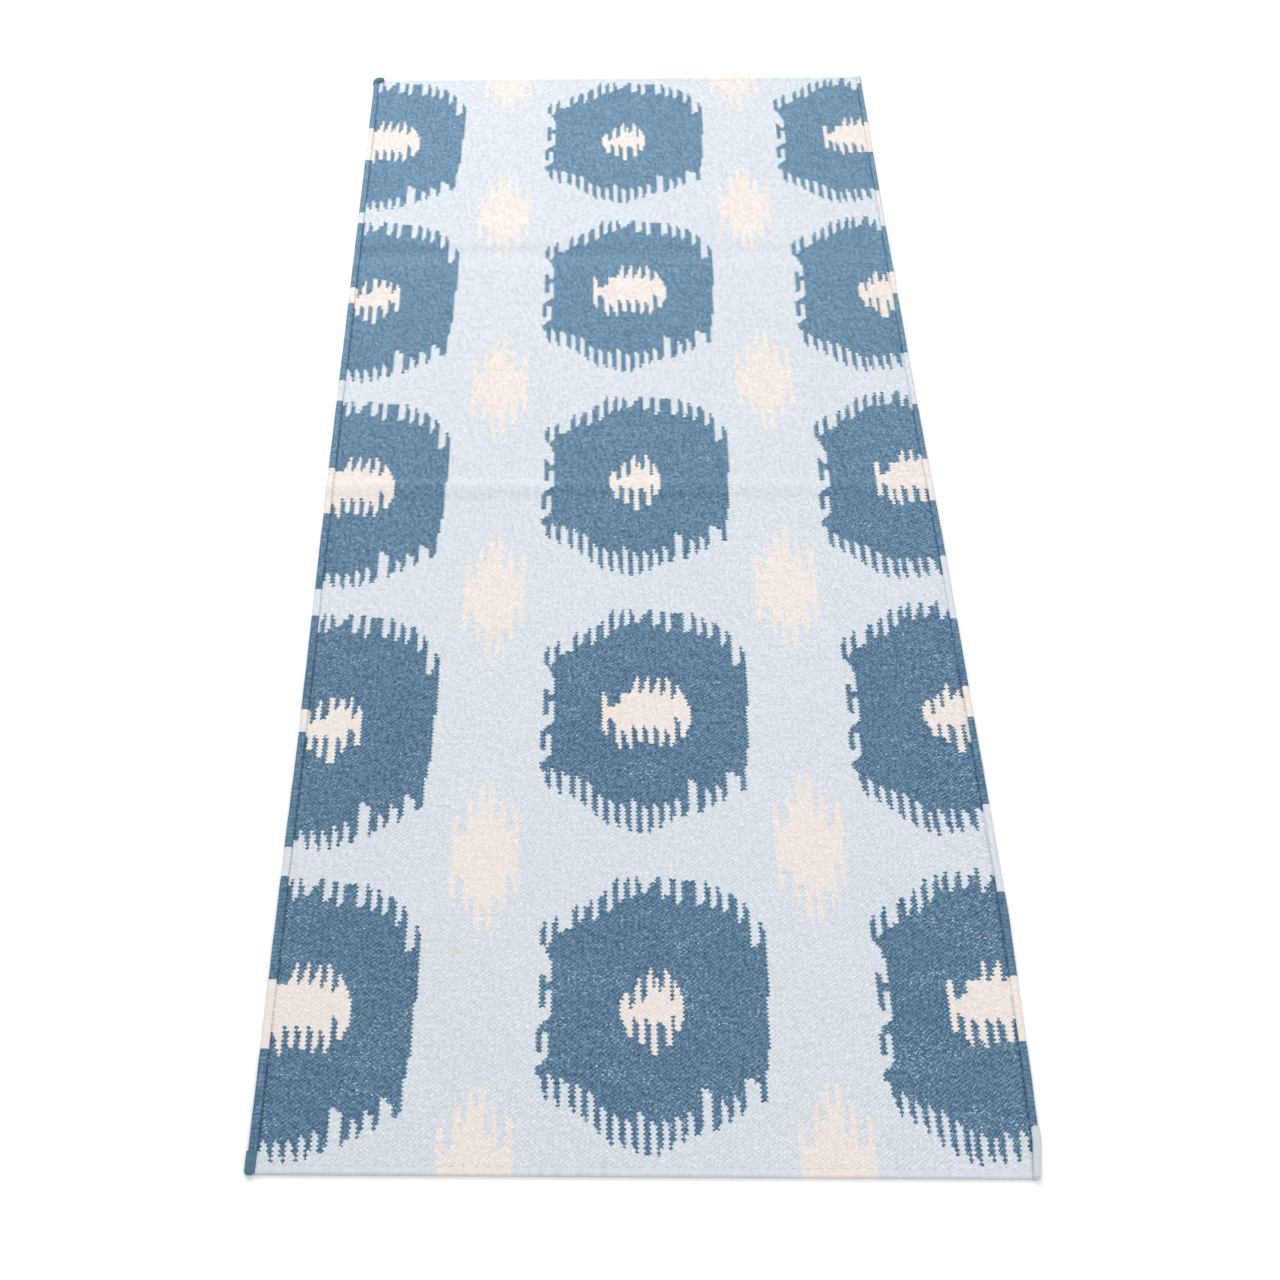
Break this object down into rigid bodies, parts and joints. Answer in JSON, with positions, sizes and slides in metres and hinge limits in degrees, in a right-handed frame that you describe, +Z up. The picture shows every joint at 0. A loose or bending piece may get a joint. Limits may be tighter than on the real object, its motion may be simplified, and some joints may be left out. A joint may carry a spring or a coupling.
{
  "type": "runner rug",
  "caption": "Flat-woven runner rug with comb-edged medallions and lozenges in tapestry weave, rolled corded sides, turned and stitched ends and wrapped corners.",
  "frame": {"origin": "middle of the underside, on the surface that the rug lies on", "axes": "+Y along the length towards the far end, +X across the width to the right, +Z up through the thickness"},
  "size_m": [0.7632, 1.8332, 0.0062],
  "materials": {
    "wool_light_blue": "weft-faced plain weave in light blue wool, matt",
    "wool_dark_blue": "weft-faced plain weave in dusty dark blue wool with pale flecks, matt",
    "wool_cream": "weft-faced plain weave in cream wool, matt",
    "cotton_warp": "undyed twisted cotton yarn and cord, matt",
    "hem_thread": "fine light blue sewing thread, matt"
  },
  "bodies": {
    "root": {"ground_weave": "wool_light_blue", "warp_yarns": "cotton_warp", "medallion_left_1": "wool_dark_blue", "medallion_left_2": "wool_dark_blue", "medallion_left_3": "wool_dark_blue", "medallion_left_4": "wool_dark_blue", "medallion_left_5": "wool_dark_blue", "medallion_centre_1": "wool_dark_blue", "medallion_centre_2": "wool_dark_blue", "medallion_centre_3": "wool_dark_blue", "medallion_centre_4": "wool_dark_blue", "medallion_centre_5": "wool_dark_blue", "medallion_right_1": "wool_dark_blue", "medallion_right_2": "wool_dark_blue", "medallion_right_3": "wool_dark_blue", "medallion_right_4": "wool_dark_blue", "medallion_right_5": "wool_dark_blue", "core_left_1": "wool_cream", "core_left_2": "wool_cream", "core_left_3": "wool_cream", "core_left_4": "wool_cream", "core_left_5": "wool_cream", "core_centre_1": "wool_cream", "core_centre_2": "wool_cream", "core_centre_3": "wool_cream", "core_centre_4": "wool_cream", "core_centre_5": "wool_cream", "core_right_1": "wool_cream", "core_right_2": "wool_cream", "core_right_3": "wool_cream", "core_right_4": "wool_cream", "core_right_5": "wool_cream", "lozenge_left_0": "wool_cream", "lozenge_left_1": "wool_cream", "lozenge_left_2": "wool_cream", "lozenge_left_3": "wool_cream", "lozenge_left_4": "wool_cream", "lozenge_left_5": "wool_cream", "lozenge_right_0": "wool_cream", "lozenge_right_1": "wool_cream", "lozenge_right_2": "wool_cream", "lozenge_right_3": "wool_cream", "lozenge_right_4": "wool_cream", "lozenge_right_5": "wool_cream", "edge_cord_left": "cotton_warp", "edge_cord_right": "cotton_warp", "hem_strip_near": "wool_light_blue", "hem_thread_near": "hem_thread", "hem_strip_far": "wool_light_blue", "hem_thread_far": "hem_thread", "corner_wrap_near_left": "wool_dark_blue", "corner_wrap_near_right": "wool_light_blue", "corner_wrap_far_left": "wool_dark_blue", "corner_wrap_far_right": "wool_light_blue"}
  },
  "joints": []
}
